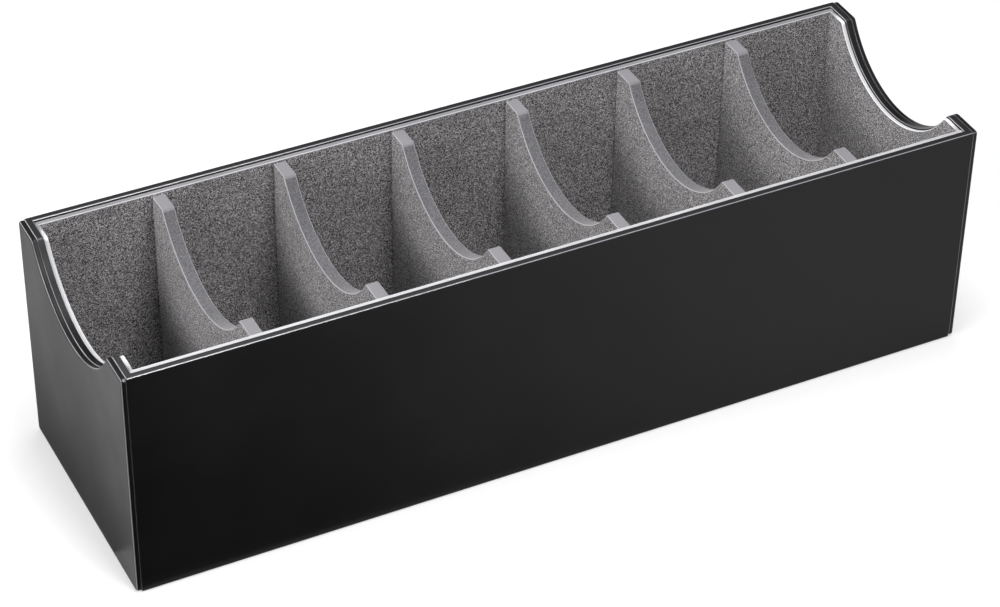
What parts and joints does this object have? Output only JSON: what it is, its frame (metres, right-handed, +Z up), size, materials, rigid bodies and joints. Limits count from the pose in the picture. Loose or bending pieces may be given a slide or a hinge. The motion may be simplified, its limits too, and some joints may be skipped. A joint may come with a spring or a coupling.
{
  "type": "belt storage box",
  "caption": "Open-topped long box in black leather with scooped ends, lined in grey suede, with scooped dividers that make a row of compartments for rolled belts.",
  "frame": {"origin": "middle of the underside, at the base of the bounding box", "axes": "+X along the length to the right end, +Y from the front to the back, +Z up"},
  "size_m": [0.5, 0.148, 0.142],
  "materials": {
    "black_leather": "black polyurethane leather, fine grain, satin",
    "grey_suede": "grey microfibre suede, matt",
    "fibreboard": "medium density fibreboard, bare",
    "greyboard": "grey bookbinder's card, bare",
    "underside_felt": "black bonded felt, matt"
  },
  "bodies": {
    "root": {"back_board": "fibreboard", "back_lining_card": "greyboard", "back_lining_suede": "grey_suede", "base_board": "fibreboard", "body_cover": "black_leather", "divider_1_core": "fibreboard", "divider_1_suede": "grey_suede", "divider_2_core": "fibreboard", "divider_2_suede": "grey_suede", "divider_3_core": "fibreboard", "divider_3_suede": "grey_suede", "divider_4_core": "fibreboard", "divider_4_suede": "grey_suede", "divider_5_core": "fibreboard", "divider_5_suede": "grey_suede", "divider_6_core": "fibreboard", "divider_6_suede": "grey_suede", "floor_lining_card": "greyboard", "floor_lining_suede": "grey_suede", "front_board": "fibreboard", "front_lining_card": "greyboard", "front_lining_suede": "grey_suede", "left_cheek_board": "fibreboard", "left_cheek_cover": "black_leather", "left_end_board": "fibreboard", "left_lining_card": "greyboard", "left_lining_suede": "grey_suede", "right_cheek_board": "fibreboard", "right_cheek_cover": "black_leather", "right_end_board": "fibreboard", "right_lining_card": "greyboard", "right_lining_suede": "grey_suede", "underside_sheet": "underside_felt"}
  },
  "joints": []
}
